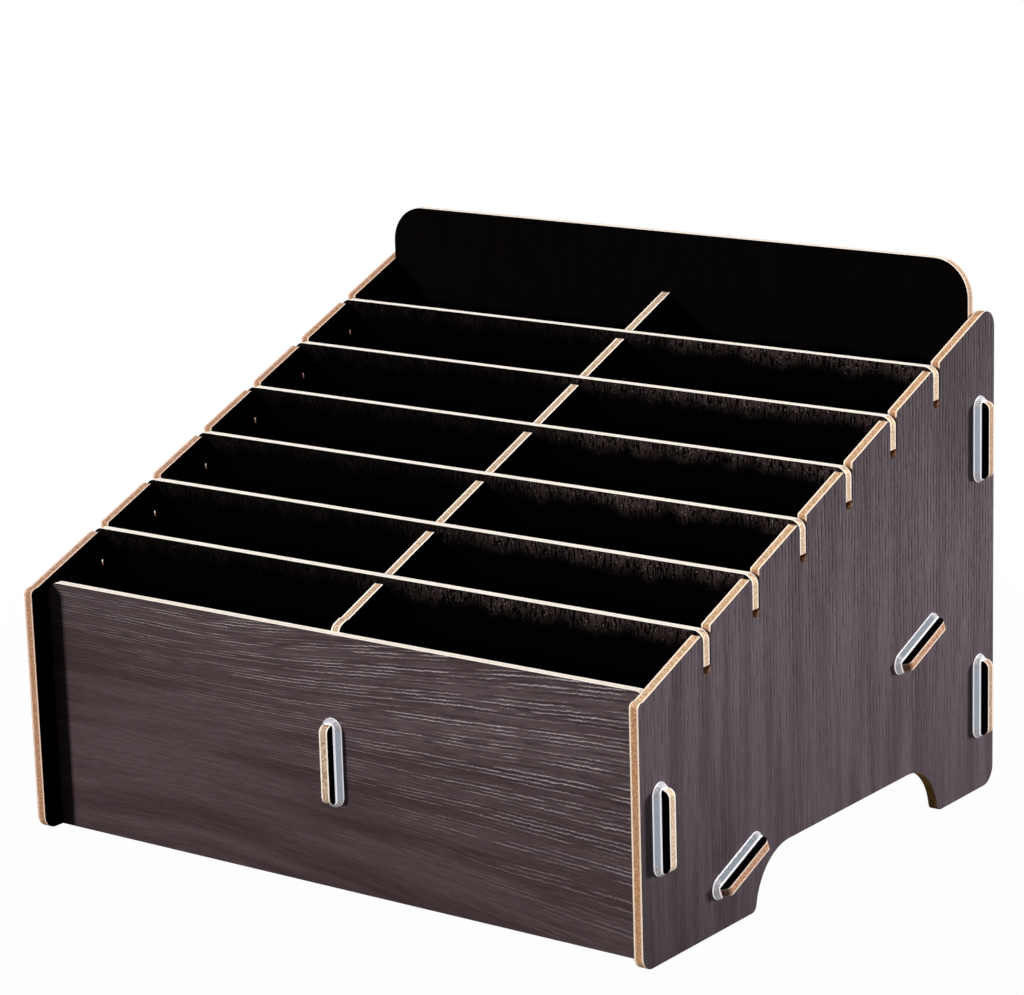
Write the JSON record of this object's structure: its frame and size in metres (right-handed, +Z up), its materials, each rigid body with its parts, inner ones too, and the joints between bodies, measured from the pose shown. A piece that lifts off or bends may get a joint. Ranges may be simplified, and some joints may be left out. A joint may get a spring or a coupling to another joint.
{
  "type": "phone storage rack",
  "caption": "Desk rack of dark laminated board for storing phones upright in rows of pockets on a sloping floor, with lift-out cross dividers.",
  "frame": {"origin": "middle of the footprint, on the table", "axes": "+X to the rack's right seen from the front, +Y to the back, +Z up"},
  "size_m": [0.2284, 0.188, 0.1623],
  "materials": {
    "board": "dark wood-grain laminate on thin fibreboard, raw tan edges",
    "ring": "translucent grey"
  },
  "bodies": {
    "rack": {"left_side_panel": "board", "right_side_panel": "board", "front_panel": "board", "back_panel": "board", "sloped_floor": "board", "centre_divider": "board", "left_front_ring": "ring", "left_lower_back_ring": "ring", "left_upper_back_ring": "ring", "left_lower_floor_ring": "ring", "left_upper_floor_ring": "ring", "right_front_ring": "ring", "right_lower_back_ring": "ring", "right_upper_back_ring": "ring", "right_lower_floor_ring": "ring", "right_upper_floor_ring": "ring", "centre_front_ring": "ring", "centre_back_ring": "ring"},
    "cross_divider_1": {"cross_divider_1": "board"},
    "cross_divider_2": {"cross_divider_2": "board"},
    "cross_divider_3": {"cross_divider_3": "board"},
    "cross_divider_4": {"cross_divider_4": "board"},
    "cross_divider_5": {"cross_divider_5": "board"},
    "cross_divider_6": {"cross_divider_6": "board"}
  },
  "joints": [
    {"name": "cross_divider_1_lift", "type": "slide", "parent": "rack", "child": "cross_divider_1", "axis": [0, 0, 1], "range_m": [0, 0.08]},
    {"name": "cross_divider_2_lift", "type": "slide", "parent": "rack", "child": "cross_divider_2", "axis": [0, 0, 1], "range_m": [0, 0.08]},
    {"name": "cross_divider_3_lift", "type": "slide", "parent": "rack", "child": "cross_divider_3", "axis": [0, 0, 1], "range_m": [0, 0.08]},
    {"name": "cross_divider_4_lift", "type": "slide", "parent": "rack", "child": "cross_divider_4", "axis": [0, 0, 1], "range_m": [0, 0.08]},
    {"name": "cross_divider_5_lift", "type": "slide", "parent": "rack", "child": "cross_divider_5", "axis": [0, 0, 1], "range_m": [0, 0.08]},
    {"name": "cross_divider_6_lift", "type": "slide", "parent": "rack", "child": "cross_divider_6", "axis": [0, 0, 1], "range_m": [0, 0.08]}
  ]
}
